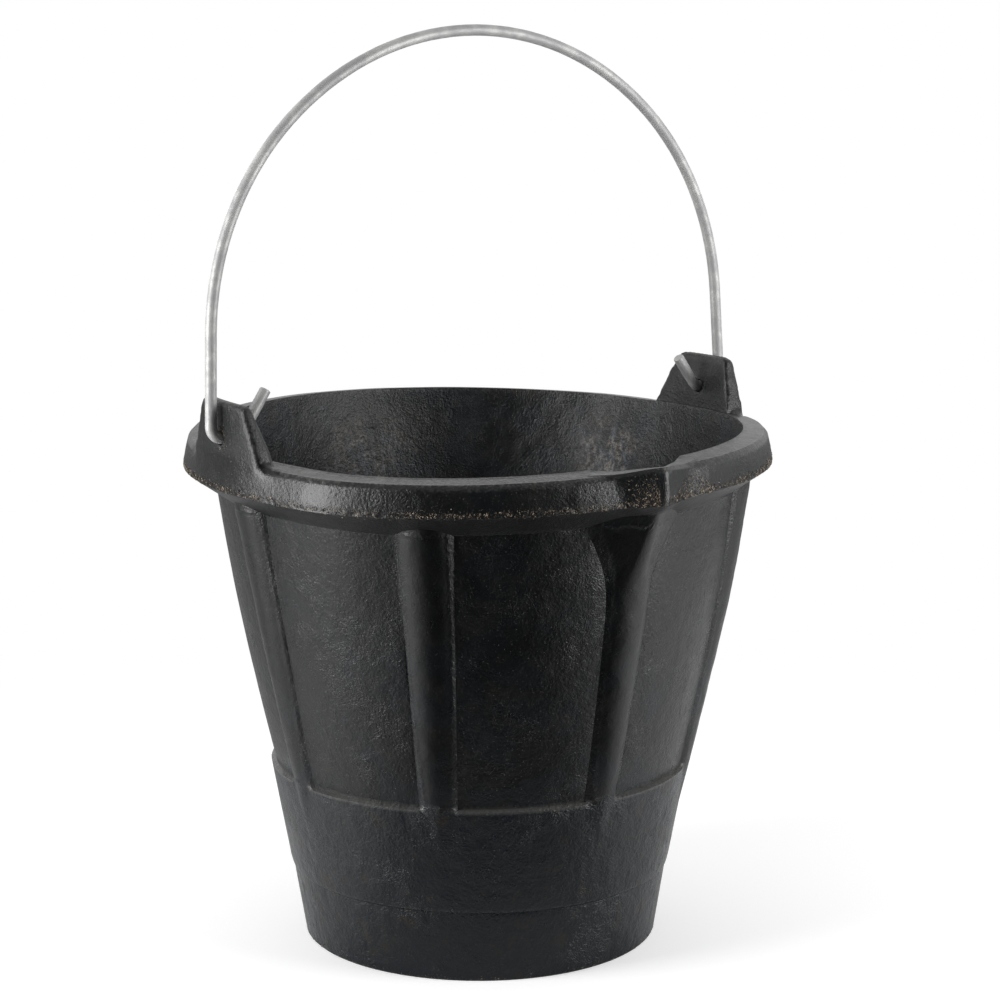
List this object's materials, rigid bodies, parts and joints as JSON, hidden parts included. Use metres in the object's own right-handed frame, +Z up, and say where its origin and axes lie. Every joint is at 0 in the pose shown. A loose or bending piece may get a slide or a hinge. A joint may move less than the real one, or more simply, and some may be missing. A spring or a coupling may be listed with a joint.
{
  "type": "rubber bucket",
  "caption": "Tapered moulded rubber bucket with a ribbed wall, thick rim, V-shaped pouring spout and raised ears that carry a swinging wire bail.",
  "frame": {"origin": "middle of the flat underside", "axes": "+Z up, X along the bail's pivot from ear to ear, pouring spout towards -Y"},
  "size_m": [0.3558, 0.3495, 0.5244],
  "materials": {
    "rubber": "matt, fibrous, recycled",
    "galvanised_wire": "dull mottled zinc"
  },
  "bodies": {
    "bucket": {"rubber_bucket": "rubber"},
    "bail": {"wire_bail": "galvanised_wire"}
  },
  "joints": [
    {"name": "bail_swing", "type": "hinge", "parent": "bucket", "child": "bail", "pos_m": [0, 0, 0.3066], "axis": [1, 0, 0], "range_deg": [-122, 127]}
  ]
}
